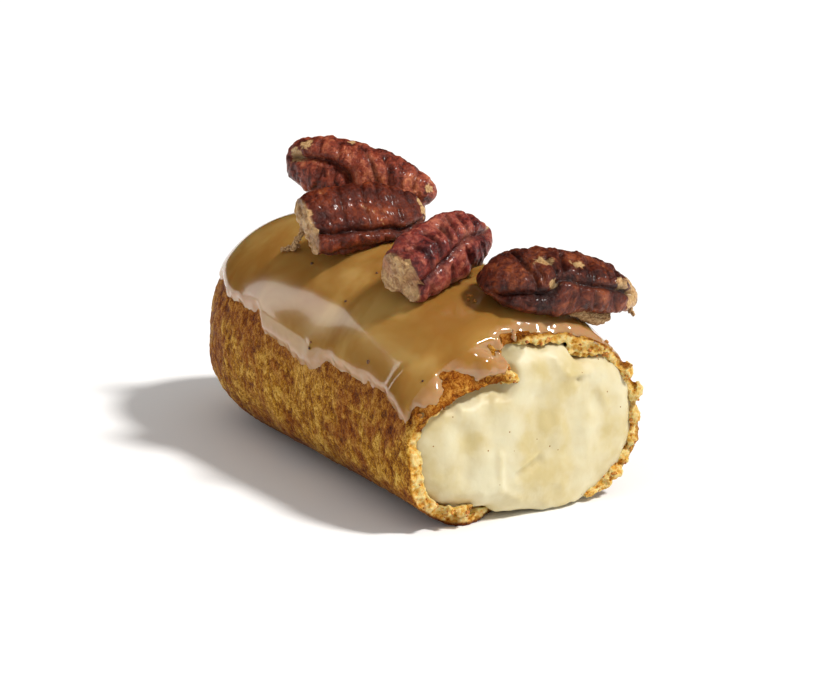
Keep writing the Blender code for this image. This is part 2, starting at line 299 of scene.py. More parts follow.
def bubbles(points, size, seed=0):
    """Distance to the nearest scattered point, in steps of size: 0 at the point, about 1 far from all."""
    spot = np.asarray(points) / size + seed * 7.71
    cell = np.floor(spot).astype(int)
    nearest = np.full(len(spot), 9.0)
    for near in NEIGHBOURS:
        middle = cell + near + SCATTER[tuple(((cell + near) % LATTICE).T)]
        nearest = np.minimum(nearest, np.linalg.norm(spot - middle, axis=1))
    return nearest


print("noise ready:", waves(np.array([[0.001, 0.002, 0.003]]), 2 * MM).round(3))

# %% [markdown]
# ## Places on the eclair
# Most features are placed by three measures. The first is the angle round the eclair's middle line,
# counted from its right side over the top. The second is how far out the skin lies in that
# direction. The third runs along the eclair, and where the crust folds inward at the cut it keeps
# counting over the fold, so it tells how far a point lies from the front edge along the skin.

# %% Places on the eclair
LINE = np.array((0, 0, 15 * MM))
DOME_START = 15 * MM
FRONT = -43 * MM
# Distance from the middle line at which the search for the skin starts, in mm
OUTSIDE = 60
plain_case = welded_copy("choux_case", "plain_case")
plain_icing = welded_copy("caramel_icing", "plain_icing")


def tree_of(piece, chosen=None):
    """A piece's faces, or some of them, in a form that can be asked for its nearest point."""
    points = [vertex.co.copy() for vertex in piece.data.vertices]
    faces = [face.vertices[:] for face in piece.data.polygons if chosen is None or chosen[face.index]]
    return BVHTree.FromPolygons(points, faces)


def distance_to(tree, points):
    return np.array([tree.find_nearest(Vector(point))[3] for point in points])


def angle_of(points):
    return np.degrees(np.arctan2(points[:, 2] - LINE[2], points[:, 0])) % 360


def radius_of(points):
    return np.hypot(points[:, 0], points[:, 2] - LINE[2])


def outer_radii(tree, y):
    """How far the skin lies from the middle line in each of 360 directions, at one place along it."""
    radii = []
    for degree in range(360):
        turn = math.radians(degree)
        way = Vector((math.cos(turn), 0, math.sin(turn)))
        start = Vector((0, y, LINE[2])) + way * OUTSIDE * MM
        hit = tree.ray_cast(start, -way)
        radii.append(OUTSIDE * MM - hit[3])
    return np.array(radii)


front_radii = outer_radii(tree_of(plain_case), FRONT + 5 * MM)


def skin_radius(points):
    """How far out the skin at the cut lies in the direction of each point."""
    return np.interp(angle_of(points), np.arange(360), front_radii)


def front_place(points):
    """Place along the eclair, still counting where the crust folds in at the cut."""
    inward = skin_radius(points) - radius_of(points)
    near_cut = ease(FRONT + 4 * MM, FRONT + 1 * MM, points[:, 1])
    return points[:, 1] - np.maximum(0, inward) * near_cut


def is_skin(piece):
    """True for the faces of the case that were its baked outside, also where it folds over the cream."""
    centres = centres_of(piece)
    normals = read(piece.data.polygons, "normal", 3)
    outward = centres - LINE
    outward[:, 1] = centres[:, 1] - np.minimum(centres[:, 1], DOME_START)
    outward /= np.linalg.norm(outward, axis=1)[:, None]
    angle = angle_of(centres)
    folded = (angle > 97) & (angle < 174) & (centres[:, 1] < FRONT + 2 * MM)
    facing = (outward * normals).sum(1)
    plain = (facing > 0.35) & (centres[:, 1] > FRONT - 2.2 * MM)
    return plain | (folded & (facing - normals[:, 1] * 0.8 > 0.3))


skin = tree_of(plain_case, is_skin(plain_case))
print("skin reaches", round(front_radii.max() * 1000, 1), "mm from the middle line at the cut")

# %% [markdown]
# ## Baked choux case
# Choux crust is a thin shell of baked foam: outside it is wrinkled and golden, and where it is cut
# or torn it shows open cells. The torn rim's thick spots and frayed corners are egg-shaped lumps,
# joined to the case first. Its open cells, large and small, are then cut out as egg-shaped bubbles.
# Last, a voxel remesh gives the whole case small even faces, so that noise can push its skin in.

# %% Large cells in the cut rim
# Middle x, y, z and radii x, y, z of each large cell, in mm
LARGE_CELLS = [
    (-7.6, -43.2, 28.2, 1.5, 2.2, 1.3),
    (-4.6, -43.2, 28.7, 1.4, 2.0, 1.0),
    (9.7, -44.2, 28.3, 0.9, 1.0, 0.5),
    (12.2, -45.6, 25.5, 2.7, 1.9, 1.4),
    (-16.4, -44.8, 3.4, 1.1, 1.6, 0.8),
    (-19.6, -45.0, 10.5, 0.6, 1.2, 0.9),
    (-9.8, -42.6, 2.6, 1.2, 1.0, 0.7),
    (21.2, -43.6, 17.5, 0.5, 1.4, 0.8),
    (19.0, -44.2, 21.6, 0.7, 1.2, 0.8),
    (21.2, -43.8, 9.0, 0.5, 1.4, 1.0),
    (15.8, -43.2, 2.4, 1.3, 1.4, 0.8),
    (18.9, -43.6, 5.0, 0.7, 1.4, 0.7),
]
# Thick spots of the rim, in the same form: the torn tip of the fold, the right side, the left lip
RIM_LUMPS = [
    (-8.4, -43.4, 25.2, 2.4, 2.2, 1.6),
    (-5.9, -43.6, 24.6, 2.4, 2.1, 1.5),
    (-3.8, -43.9, 23.2, 1.8, 1.9, 1.3),
    (-2.2, -44.0, 22.0, 1.1, 1.7, 1.0),
    (12.4, -42.9, 25.4, 3.2, 1.2, 1.7),
    (9.0, -42.5, 25.4, 1.9, 1.2, 1.3),
    (20.0, -43.6, 20.6, 1.1, 1.4, 1.8),
    (21.8, -43.7, 16.8, 1.4, 1.5, 2.0),
    (21.4, -43.8, 13.0, 1.2, 1.5, 2.2),
    (20.8, -43.8, 9.4, 1.2, 1.5, 1.9),
    (19.4, -43.8, 6.2, 1.4, 1.4, 1.6),
    (17.4, -44.0, 3.8, 1.7, 1.5, 1.3),
    (15.0, -44.3, 2.2, 2.0, 1.5, 1.2),
    (12.2, -44.5, 1.5, 1.8, 1.4, 0.9),
    (-18.6, -44.2, 4.8, 1.6, 1.2, 1.0),
    (-15.6, -44.4, 3.3, 1.8, 1.2, 1.1),
    (-12.8, -44.6, 2.8, 1.6, 1.2, 1.0),
    (-11.2, -44.6, 3.1, 0.9, 1.0, 0.9),
]
SMALL_CELLS = 150
CRUST_VOXEL = 0.40 * MM


def ball(place, radii, turn):
    bpy.ops.object.select_all(action="DESELECT")
    bpy.ops.mesh.primitive_ico_sphere_add(subdivisions=2, radius=1, location=place)
    made = bpy.context.active_object
    made.scale, made.rotation_euler = radii, turn
    return made


def egg(middle, radii, chance):
    """A ball with three radii, tilted a little by chance."""
    return ball(middle, radii, [chance.uniform(-0.4, 0.4) for _ in range(3)])


def eggs_from(table, chance):
    return [egg([v * MM for v in row[:3]], [v * MM for v in row[3:]], chance) for row in table]


def join(pieces):
    """Makes several objects one: the first takes in the rest."""
    bpy.ops.object.select_all(action="DESELECT")
    for piece in pieces:
        piece.select_set(True)
    bpy.context.view_layer.objects.active = pieces[0]
    bpy.ops.object.join()
    return pieces[0]


def thicken_rim(piece, lumps):
    join([piece, *eggs_from(lumps, random.Random(12))])


def cut_cells(piece):
    """Cuts the large cells and many small ones out of a piece, and counts them."""
    chance = random.Random(11)
    eggs = eggs_from(LARGE_CELLS, chance)
    points, normals = points_of(piece), normals_of(piece)
    near = [i for i in range(len(points)) if points[i][1] < FRONT + 3 * MM and normals[i][1] < -0.2]
    for _ in range(SMALL_CELLS):
        spot = points[chance.choice(near)] + [chance.uniform(-0.8, 0.8) * MM for _ in range(3)]
        size = (0.22 + 0.5 * chance.random() ** 2) * MM
        eggs.append(egg(spot, [size * chance.uniform(0.7, 1.5) for _ in range(3)], chance))
    cells = join(eggs)
    apply_modifier(piece, "BOOLEAN", object=cells, operation="DIFFERENCE", solver="EXACT", use_self=True)
    bpy.data.objects.remove(cells)
    return len(eggs)


case = welded_copy("choux_case", "crust")
thicken_rim(case, RIM_LUMPS)
print("cells cut:", cut_cells(case))
apply_modifier(case, "REMESH", mode="VOXEL", voxel_size=CRUST_VOXEL)
report(case)

# %% [markdown]
# The cavity's wall and the crust under the icing are never seen, so they need few faces, and the
# torn rim needs many. Decimate thins out the hidden faces, and subdividing splits the rim's.

# %% Faces where they are needed
HIDDEN_SHARE = 0.06
HIDDEN_DEPTH = 1.2 * MM
ICING_REACH = 0.8 * MM
BEHIND_RIM = FRONT + 4 * MM


def thin_out_hidden(piece):
    centres = centres_of(piece)
    depth = distance_to(skin, centres)
    covered = distance_to(tree_of(plain_icing), centres) < ICING_REACH
    covered &= (centres[:, 2] > 26 * MM) & (centres[:, 1] > BEHIND_RIM)
    inner = (depth > HIDDEN_DEPTH) & (centres[:, 1] > FRONT + 5 * MM)
    select_faces(piece, inner | covered)
    edit(piece, (bpy.ops.mesh.decimate, dict(ratio=HIDDEN_SHARE)))


def split_rim(piece):
    centres = centres_of(piece)
    depth = distance_to(skin, centres)
    rim = (front_place(centres) < FRONT + 1 * MM) & (depth > 0.25 * MM) & (centres[:, 1] < BEHIND_RIM)
    select_faces(piece, rim)
    edit(piece, (bpy.ops.mesh.subdivide, dict(number_cuts=1, quadcorner="INNERVERT")))


thin_out_hidden(case)
split_rim(case)
report(case)

# %% [markdown]
# The skin gets shallow wrinkles, mostly across the eclair, and the torn rim gets deep pits where
# cells opened. Both only push inward, so the case stays within its true size, and the underside
# stays flat on the table. How deep each point was pushed is stored for the material.

# %% Relief of the crust
WRINKLE_DEPTH = 0.5 * MM
PIT_DEPTH = 0.7 * MM
SWAY = 0.3 * MM


def ridged(values):
    """Turns smooth noise into sharp ridges: 1 where it crosses zero."""
    return 1 - np.clip(np.abs(values) * 1.7, 0, 1)


def crust_relief(points):
    """1 on ridges and 0 in the bottom of the wrinkles."""
    stretched = points * (1, 1.25, 0.9)
    folds = ridged(waves(stretched, 3.4 * MM, 2, 2, 0.6))
    wrinkles = ridged(waves(stretched, 1.5 * MM, 5, 2, 0.6))
    grains = 1 - np.clip(bubbles(points, 1.2 * MM, 6) * 1.3, 0, 1)
    lumps = 0.5 + 0.6 * waves(points, 2.4 * MM, 8, 2)
    return np.clip(0.26 * folds + 0.28 * wrinkles + 0.28 * lumps + 0.34 * grains, 0, 1)


def crumb_relief(points):
    """1 on the thin walls between open cells and 0 in the cells."""
    large = np.clip(bubbles(points, 1.2 * MM, 3) / 0.62, 0, 1)
    small = np.clip(bubbles(points, 0.6 * MM, 4) / 0.7, 0, 1)
    return np.clip(0.6 * large**1.5 + 0.4 * small**1.5, 0, 1)


points = points_of(case)
depth = distance_to(skin, points)
crumb = ease(0.3 * MM, 0.8 * MM, depth)
relief = crust_relief(points) * (1 - crumb) + crumb_relief(points) * crumb
off_floor = ease(0.05 * MM, 1.0 * MM, points[:, 2])
at_cut = ease(FRONT + 5 * MM, FRONT + 2 * MM, points[:, 1])
push = (1 - relief) * (WRINKLE_DEPTH * (1 - crumb) + PIT_DEPTH * crumb * at_cut)
sway = SWAY * waves(points, 2.4 * MM, 12, 2) * crumb * at_cut
pushed = pushed_out(case, (sway - push) * off_floor)
pushed[:, 2] = np.maximum(pushed[:, 2], 0)
pushed[:, 1] = np.maximum(pushed[:, 1], cad_box[0].y)
move_points(case, pushed)
# The relief also sets colour: the crust's finish paints shade where it is low.
store(case, "relief", relief)
store(case, "crumb", crumb)
store(case, "low", ease(8 * MM, 1 * MM, pushed[:, 2]))
store(case, "near_icing", ease(6 * MM, 0.5 * MM, distance_to(tree_of(plain_icing), points)))
print("deepest push:", round(float((push * off_floor).max() / MM), 2), "mm")

# %% [markdown]
# ## Materials
# Each finish is a Principled shader whose inputs come from layered noise. The helpers below add a
# node in one line, so that each finish reads as a list of its layers. Colours are written as a
# screen shows them, 0 to 255, and turned into the linear light that a shader wants.

# %% Helpers for materials


def tone(red, green, blue):
    values = [channel / 255 for channel in (red, green, blue)]
    return tuple(v / 12.92 if v <= 0.04045 else ((v + 0.055) / 1.055) ** 2.4 for v in values)


class Finish:
    """A material and short ways to add nodes to it."""

    def __init__(self, name, **constants):
        self.material = bpy.data.materials.new(name)
        self.material.use_nodes = True
        self.tree = self.material.node_tree
        self.shader = self.tree.nodes["Principled BSDF"]
        self.place = self.tree.nodes.new("ShaderNodeTexCoord").outputs["Object"]
        self.give(**constants)

    def give(self, **inputs):
        for key, value in inputs.items():
            self.feed(self.shader.inputs[key.replace("_", " ")], value)
        return self.material

    def feed(self, socket, value):
        if isinstance(value, bpy.types.NodeSocket):
            self.tree.links.new(value, socket)
        elif isinstance(value, tuple) and len(value) == 3 and socket.type == "RGBA":
            socket.default_value = (*value, 1)
        else:
            socket.default_value = value

    def node(self, kind, settings, inputs=()):
        """Adds a node. Its inputs are given by name or by number, as values or other nodes' outputs."""
        made = self.tree.nodes.new("ShaderNode" + kind)
        for key, value in settings.items():
            setattr(made, key, value)
        for key, value in dict(inputs).items():
            self.feed(made.inputs[key], value)
        return made

    def noise(self, size, detail, roughness, distortion=0.0, place=None):
        inputs = dict(Scale=1 / size, Detail=detail, Roughness=roughness, Distortion=distortion)
        return self.node("TexNoise", {}, dict(inputs, Vector=place or self.place)).outputs["Fac"]

    def cells(self, size):
        return self.node("TexVoronoi", {}, dict(Vector=self.place, Scale=1 / size)).outputs["Distance"]

    def stretched(self, x, y, z):
        return self.node("Mapping", {}, dict(Vector=self.place, Scale=(x, y, z))).outputs["Vector"]

    def stored(self, name):
        return self.node("Attribute", {"attribute_name": name}).outputs["Fac"]

    def ramp(self, value, *stops):
        made = self.node("ValToRGB", {}, {"Fac": value})
        marks = made.color_ramp.elements
        while len(marks) < len(stops):
            marks.new(0.5)
        for mark, (place, shade) in zip(marks, stops):
            mark.position = place
            mark.color = (*shade, 1) if isinstance(shade, tuple) else (shade, shade, shade, 1)
        return made.outputs["Color"]

    def math(self, operation, first, second):
        return self.node("Math", {"operation": operation}, {0: first, 1: second}).outputs[0]

    def add(self, first, second):
        return self.math("ADD", first, second)

    def times(self, first, second):
        return self.math("MULTIPLY", first, second)

    def span(self, value, low, high, out_low=0.0, out_high=1.0):
        """Turns the range from low to high into another one, 0 to 1 unless told otherwise."""
        inputs = {0: value, 1: low, 2: high, 3: out_low, 4: out_high}
        return self.node("MapRange", {}, inputs).outputs[0]

    def mix(self, share, first, second, blend="MIX"):
        settings = {"data_type": "RGBA", "blend_type": blend}
        return self.node("Mix", settings, {0: share, 6: first, 7: second}).outputs[2]

    def bump(self, height, distance, strength):
        inputs = dict(Height=height, Distance=distance, Strength=strength)
        return self.node("Bump", {}, inputs).outputs["Normal"]


print("a middle grey of 128 is", round(tone(128, 128, 128)[0], 3), "in linear light")

# %% [markdown]
# The crust's colour follows its relief: ridges are pale gold, and the hollows of the wrinkles are
# painted dark as shade. Larger patches bake brown, and the colour also darkens along the icing's
# edge and near the base. The open crumb at the cut is honey-coloured, with painted shade in its
# cells, and lets light through, so it gets more scattering under its surface.

# %% Finish of the crust


def crust_finish():
    made = Finish("baked_choux", Roughness=0.5, Specular_IOR_Level=0.12, Subsurface_Scale=1.5 * MM)
    broad = made.noise(7 * MM, 4, 0.62, 0.8)
    medium = made.noise(2.2 * MM, 4, 0.65, 0.9)
    fine = made.noise(0.75 * MM, 5, 0.75, 1.6)
    grain = made.noise(0.32 * MM, 3, 0.7)
    relief_here, crumb_here = made.stored("relief"), made.stored("crumb")
    texture = made.add(made.times(fine, 0.6), made.times(grain, 0.25))
    height = made.add(made.times(relief_here, 0.26), made.add(texture, made.times(medium, 0.2)))
    # Painted shade: where the stored relief is low, in the wrinkles' hollows, this ramp goes dark; the
    # noise adds the crust's own uneven tone.
    baked = made.ramp(
        height,
        (0.53, tone(96, 46, 4)),
        (0.605, tone(152, 90, 10)),
        (0.67, tone(200, 134, 24)),
        (0.77, tone(250, 206, 98)),
    )
    patches = made.add(made.times(broad, 0.7), made.times(medium, 0.3))
    brown = made.ramp(patches, (0.47, 0.0), (0.56, 1.0))
    band = made.times(made.stored("near_icing"), 0.7)
    shade = made.math("MAXIMUM", made.times(brown, 0.75), band)
    baked = made.mix(shade, baked, tone(192, 134, 92), "MULTIPLY")
    baked = made.mix(made.stored("low"), baked, tone(156, 122, 100), "MULTIPLY")
    # Honey-coloured open crumb with painted shade in its cells, where the stored relief is low.
    open_crumb_and_shade = made.ramp(
        made.add(made.times(relief_here, 0.4), texture),
        (0.40, tone(156, 88, 14)),
        (0.52, tone(216, 142, 40)),
        (0.65, tone(244, 190, 90)),
        (0.84, tone(254, 230, 160)),
    )
    shown = made.mix(crumb_here, baked, open_crumb_and_shade)
    bumps = made.add(made.times(fine, 1.0), made.times(grain, 0.45))
    return made.give(
        Base_Color=shown,
        Normal=made.bump(bumps, 0.5 * MM, 1.0),
        Subsurface_Weight=made.span(crumb_here, 0, 1, 0.04, 0.2),
    )


dress(case, crust_finish(), "choux_case")

# %% [markdown]
# ## Vanilla cream
# The cream fills the case right to its wall and bulges a little at the cut, with soft ridges and
# dents where the knife dragged it. Its edge is pushed a little way into the crust, so that no dark
# gap shows between them. Each ridge or dent is a short line on the front with a width and a height,
# and every point near that line moves out or in, as a finger would push it.

# %% Cream
CREAM_GROW = 1.3 * MM
LOW_RIGHT_GROW = 1.6 * MM
TOP_SHRINK = 2.4 * MM
SOFT_VOXEL = 0.45 * MM
# Start x, z, end x, z, width and height of each ridge, or depth where it is negative, in mm
CREAM_STROKES = [
    (-6.5, 11.2, -6.3, 5.4, 0.55, 0.55),
    (-6.0, 5.4, -2.6, 3.2, 0.5, 0.5),
    (-2.9, 7.5, 1.0, 9.2, 0.8, -0.6),
    (-3.4, 8.4, 0.4, 10.2, 0.5, 0.25),
    (8.9, 21.2, 9.3, 21.0, 0.5, -0.6),
    (7.0, 22.6, 11.5, 22.0, 0.8, 0.5),
    (5.0, 25.2, 6.2, 22.5, 0.9, 0.35),
    (-9.0, 20.5, -3.5, 23.0, 0.8, 0.4),
    (4.8, 18.5, 5.2, 12.0, 1.3, 0.35),
    (0.5, 19.5, 0.8, 13.5, 1.2, -0.3),
    (10.5, 16.5, 10.2, 9.0, 1.4, 0.3),
    (-12.5, 16.0, -12.2, 8.0, 1.6, -0.3),
    (13.5, 19.0, 15.0, 15.5, 0.8, 0.35),
    (-9.5, 5.0, -8.8, 2.8, 0.8, 0.3),
    (2.5, 6.2, 5.5, 4.6, 0.8, 0.35),
]


def line_distance(points, start, end):
    """Distance of each point from a straight line between two places."""
    along = end - start
    share = np.clip(((points - start) @ along) / (along @ along), 0, 1)
    return np.linalg.norm(points - start - share[:, None] * along, axis=1)


def from_line(points, ends):
    """Distance from a line whose two ends are listed one after the other, in mm."""
    start, end = np.reshape(ends, (2, -1)) * MM
    return line_distance(points, start, end)


def bell(distance, width):
    """1 at a distance of 0, falling smoothly to almost 0 at twice the width."""
    return np.exp(-((distance / width) ** 2))


def remesh_softly(piece):
    """Gives a piece small even faces and smooths away the steps that a voxel remesh leaves."""
    apply_modifier(piece, "REMESH", mode="VOXEL", voxel_size=SOFT_VOXEL)
    apply_modifier(piece, "SMOOTH", factor=0.5, iterations=6)


cream = welded_copy("cream_filling", "cream")
remesh_softly(cream)
points = points_of(cream)
front = ease(FRONT + 3 * MM, FRONT, points[:, 1])
radius, angle = radius_of(points), angle_of(points)
edge_on = ease(0.75, 0.97, radius / (skin_radius(points) - 2.6 * MM))
away = np.column_stack((points[:, 0], np.zeros(len(points)), points[:, 2] - LINE[2])) / radius[:, None]
grown = CREAM_GROW * (1 + 0.35 * waves(points, 3 * MM, 21, 2))
near_front = ease(FRONT + 12 * MM, FRONT + 8 * MM, points[:, 1])
top = 0.45 * bell(angle - 74, 24) + 1.05 * bell(angle - 43, 10)
grown = grown + LOW_RIGHT_GROW * bell(angle - 308, 26) - TOP_SHRINK * top
points = points + away * (grown * edge_on * near_front)[:, None]
flat = points[:, [0, 2]]
lift = 0.3 * MM * waves(points, 5 * MM, 22, 2) + 0.07 * MM * waves(points, 1.6 * MM, 23, 2)
for *ends, width, height in CREAM_STROKES:
    lift += height * MM * bell(from_line(flat, ends), width * MM)
points[:, 1] -= lift * front
points[:, 1] = np.maximum(points[:, 1], cad_box[0].y)
scallop = 0.6 * MM + 0.7 * MM * waves(points * (1, 0, 0), 3.4 * MM, 24, 2)
points[:, 2] = np.maximum(points[:, 2], np.maximum(scallop, 0.15 * MM))
move_points(cream, points)


def cream_finish():
    made = Finish(
        "vanilla_cream",
        Roughness=0.48,
        Subsurface_Weight=0.5,
        Subsurface_Scale=2 * MM,
        Subsurface_Radius=(1, 0.85, 0.6),
    )
    mottle = made.noise(5.5 * MM, 3, 0.5)
    shown = made.ramp(
        mottle, (0.32, tone(201, 184, 132)), (0.5, tone(211, 199, 160)), (0.70, tone(217, 209, 176))
    )
    speck = made.ramp(made.cells(2.6 * MM), (0.045, 1.0), (0.06, 0.0))
    shown = made.mix(speck, shown, tone(150, 104, 44))
    soft = made.noise(1.5 * MM, 3, 0.5)
    return made.give(Base_Color=shown, Normal=made.bump(soft, 0.25 * MM, 0.4))


dress(cream, cream_finish(), "cream_filling")

# %% [markdown]
# ## Caramel icing
# The icing was poured: it is thick on top, thins towards an uneven edge with a soft lip, and
# runs over the folded crust at the front. It could be sculpted by hand, but growing it from the
# crust makes it fit exactly. The crust's skin is copied where the icing covers it, and each point
# is lifted by the icing's thickness there. Beyond the edge the sheet dips under the crust.

# %% Where the icing ends
# Distance round the eclair from the left end of the cut, and height of the icing's edge there, in mm
EDGE_HEIGHT = [
    (-3, 17.6), (0, 18.0), (3, 18.8), (5.5, 19.9), (11, 21.4), (16, 21.6), (21, 21.7), (26.5, 22.2),
    (29.4, 20.7), (32.3, 19.5), (36, 20.1), (40, 21.2), (44.7, 21.6), (49, 22.3), (51.5, 25.0), (57, 24.9),
    (65, 24.5), (71, 26.2), (80, 24.6), (91, 23.0), (100, 21.6), (110, 23.2), (120, 22.0), (130, 20.5),
    (138, 22.2), (146, 21.0), (152, 19.4), (160, 21.6), (170, 21.0), (178, 19.6), (185, 20.2),
]
# Angle round the eclair and place of the icing's front edge there, in mm
EDGE_FRONT = [
    (0, -42.0), (10, -42.0), (20, -42.6), (30, -43.2), (40, -44.4), (50, -44.0), (60, -43.2), (70, -43.0),
    (80, -42.5), (90, -41.8), (100, -42.2), (108, -42.2), (112, -43.4), (114, -46.5), (118, -50.0),
    (124, -50.5), (130, -48.5), (137, -46.0), (144, -45.3), (150, -46.5), (156, -48.2), (160, -47.0),
    (166, -44.8), (172, -44.2), (180, -44.5),
]
# Lower edge of the icing where it runs over the fold, seen from the front: x and z in mm
EDGE_FOLD = [
    (-25, 19.6), (-23.7, 19.2), (-23.0, 18.2), (-22.2, 18.0), (-21.5, 19.6), (-20.0, 21.0), (-17.9, 21.6),
    (-15.6, 22.2), (-13.0, 23.2), (-10.6, 23.8), (-8.4, 24.2), (-6.3, 24.5), (-4.8, 24.9), (-3.8, 26.4),
]
# Gaps in the icing over the fold, seen from the front: two ends x, z and the half-width, in mm
ICING_GAPS = [
    (-9.2, 30.2, -5.4, 27.6, 1.3),
    (-15.4, 25.2, -10.8, 24.2, 0.9),
    (-15.6, 23.6, -12.4, 23.6, 0.9),
    (-15.6, 22.2, -14.2, 22.4, 1.1),
]
END_RADIUS = 21 * MM
TABLE_STEP = 0.25
FAR = 9 * MM
CORNER_ROUNDING = 0.6 * MM


def edge_height(points, softness=0.5):
    """Height of the icing's edge beside each point, or that line smoothed over some mm."""
    across, beyond = points[:, 0], points[:, 1] - DOME_START
    turn = np.arctan2(beyond, -across)
    round_end = DOME_START - FRONT + turn * END_RADIUS
    left, right = points[:, 1] - FRONT, DOME_START - FRONT + math.pi * END_RADIUS - beyond
    along = np.where(beyond > 0, round_end, np.where(across < 0, left, right))
    table = np.array(EDGE_HEIGHT)
    places = np.arange(-40, 230, TABLE_STEP)
    heights = np.interp(places, table[:, 0], table[:, 1])
    spread = np.exp(-((np.arange(-80, 81) * TABLE_STEP / softness) ** 2) / 2)
    heights = np.convolve(heights, spread / spread.sum(), "same")
    return np.interp(along / MM, places, heights) * MM


def in_fold(points):
    """True where the crust and icing fold inward over the cut."""
    angle = angle_of(points)
    return (angle > 106) & (angle < 185) & (points[:, 1] < FRONT + 1 * MM)


def icing_gaps(points):
    """Distance outside the nearest gap in the icing, far away everywhere but in the fold."""
    gap = np.full(len(points), FAR)
    for *ends, width in ICING_GAPS:
        gap = np.minimum(gap, from_line(points[:, [0, 2]], ends) - width * MM)
    return gap + 20 * MM * ease(FRONT + 0.5 * MM, FRONT + 2.5 * MM, points[:, 1])


def inside_icing(points, softness=0.5):
    """How far each point lies inside the nearest edge of the icing, negative outside it."""
    table, fold = np.array(EDGE_FRONT), np.array(EDGE_FOLD) * MM
    from_side = points[:, 2] - edge_height(points, softness)
    from_front = front_place(points) - np.interp(angle_of(points), table[:, 0], table[:, 1] * MM)
    from_fold = points[:, 2] - np.interp(points[:, 0], fold[:, 0], fold[:, 1])
    folded = in_fold(points)
    from_front = np.where(folded, from_fold, from_front)
    from_side = np.where(folded, FAR, from_side)
    edges = [np.clip(edge, -FAR, FAR) for edge in (from_side, from_front, icing_gaps(points))]
    return -CORNER_ROUNDING * np.log(sum(np.exp(-edge / CORNER_ROUNDING) for edge in edges))


def ragged(points):
    """How much the icing's edge wanders in or out on a small scale."""
    return 0.5 * MM * waves(points, 2.8 * MM, 31, 2, 0.7) + 0.3 * MM * waves(points, 1.1 * MM, 34)


heights = [height for _, height in EDGE_HEIGHT]
print("the icing's side edge is", min(heights), "to", max(heights), "mm high")

# %% [markdown]
# The edge is a thin ragged film with a soft lip behind it. From there the thickness grows slowly to
# its full depth on top, and stays smooth, because a ripple there would break up reflections. Strong
# smoothing also lowers the top, so that much is added back, and a little more under each pecan, so
# that the nuts touch it. Bumps and runs near the fold are soft mounds along short lines.

# %% Icing
ICING_DEPTH = 1.7 * MM
FILM_DEPTH = 0.42 * MM
LIP_DEPTH = 0.65 * MM
TOP_SMOOTHING = 480
SMOOTHED_AWAY = 0.45 * MM
NUT_CUSHION = 0.75 * MM
NUT_NODES = ("pecan_front", "pecan_middle", "pecan_left", "pecan_back")
# Start x, y, z, end x, y, z, width and height of each mound, in mm
ICING_MOUNDS = [
    (-20.9, -41.0, 23.5, -22.0, -43.6, 18.6, 0.9, 0.6),
    (-13.2, -43.6, 28.0, -10.2, -43.8, 28.4, 1.3, 1.3),
    (-8.8, -44.6, 26.6, -5.0, -44.8, 26.0, 0.7, 0.5),
    (-20.5, -36.5, 21.5, -15.5, -39.5, 27.5, 1.4, 0.3),
    (-18.6, -43.6, 24.4, -17.4, -43.6, 26.4, 1.0, 0.5),
    (-20.9, -10.5, 20.0, -20.5, -11.0, 22.0, 1.4, 0.25),
    (-16.3, 4.5, 32.0, -15.9, 6.5, 32.0, 1.2, 0.15),
]


def mounds(points):
    total = np.zeros(len(points))
    for *ends, width, height in ICING_MOUNDS:
        total += height * MM * bell(from_line(points, ends), width * MM)
    return total


def on_top(points):
    """1 on the wide top of the icing, 0 at the cut and low on the sides."""
    back, high = (FRONT + 1.5 * MM, FRONT + 6 * MM), (12 * MM, 16 * MM)
    return ease(*back, points[:, 1]) * ease(*high, points[:, 2])


def icing_lift(points, inside):
    """Height of the icing's surface over the crust: ragged film, soft lip, then slow growth."""
    at_edge = inside + ragged(points)
    behind_cut = front_place(points) - FRONT - 1.5 * MM
    smooth_inside = np.minimum(points[:, 2] - edge_height(points, 9), behind_cut)
    film = FILM_DEPTH * np.sqrt(1 - (1 - np.clip(at_edge / (0.5 * MM), 0, 1)) ** 2)
    depth = LIP_DEPTH * ease(-1.5 * MM, 3.5 * MM, smooth_inside)
    depth += (ICING_DEPTH - FILM_DEPTH - LIP_DEPTH) * ease(2 * MM, 14 * MM, smooth_inside)
    depth = depth * ease(-0.2 * MM, 0.8 * MM, at_edge) + mounds(points) * ease(0, 1.2 * MM, at_edge)
    return film + depth - 0.6 * MM * ease(0.1 * MM, 0.9 * MM, -at_edge)


icing = welded_copy("choux_case", "icing")
thicken_rim(icing, RIM_LUMPS[:3])
remesh_softly(icing)
smooth_by(icing, on_top(points_of(icing)), TOP_SMOOTHING)
outside = inside_icing(centres_of(icing)) < -1.5 * MM
select_faces(icing, outside | ~is_skin(icing))
edit(icing, (bpy.ops.mesh.delete, dict(type="FACE")))
points = points_of(icing)
inside = inside_icing(points)
near_nut = np.min([distance_to(tree_of(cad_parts[name]), points) for name in NUT_NODES], axis=0)
cushion = NUT_CUSHION * ease(4 * MM, 1.5 * MM, near_nut)
settled = SMOOTHED_AWAY * on_top(points)
move_points(icing, pushed_out(icing, icing_lift(points, inside) + settled + cushion))
store(icing, "inside", (inside + ragged(points)) * 1000)
apply_modifier(icing, "SMOOTH", factor=0.5, iterations=3)
apply_modifier(icing, "SOLIDIFY", thickness=1.0 * MM, offset=-1, use_rim=True)
report(icing)


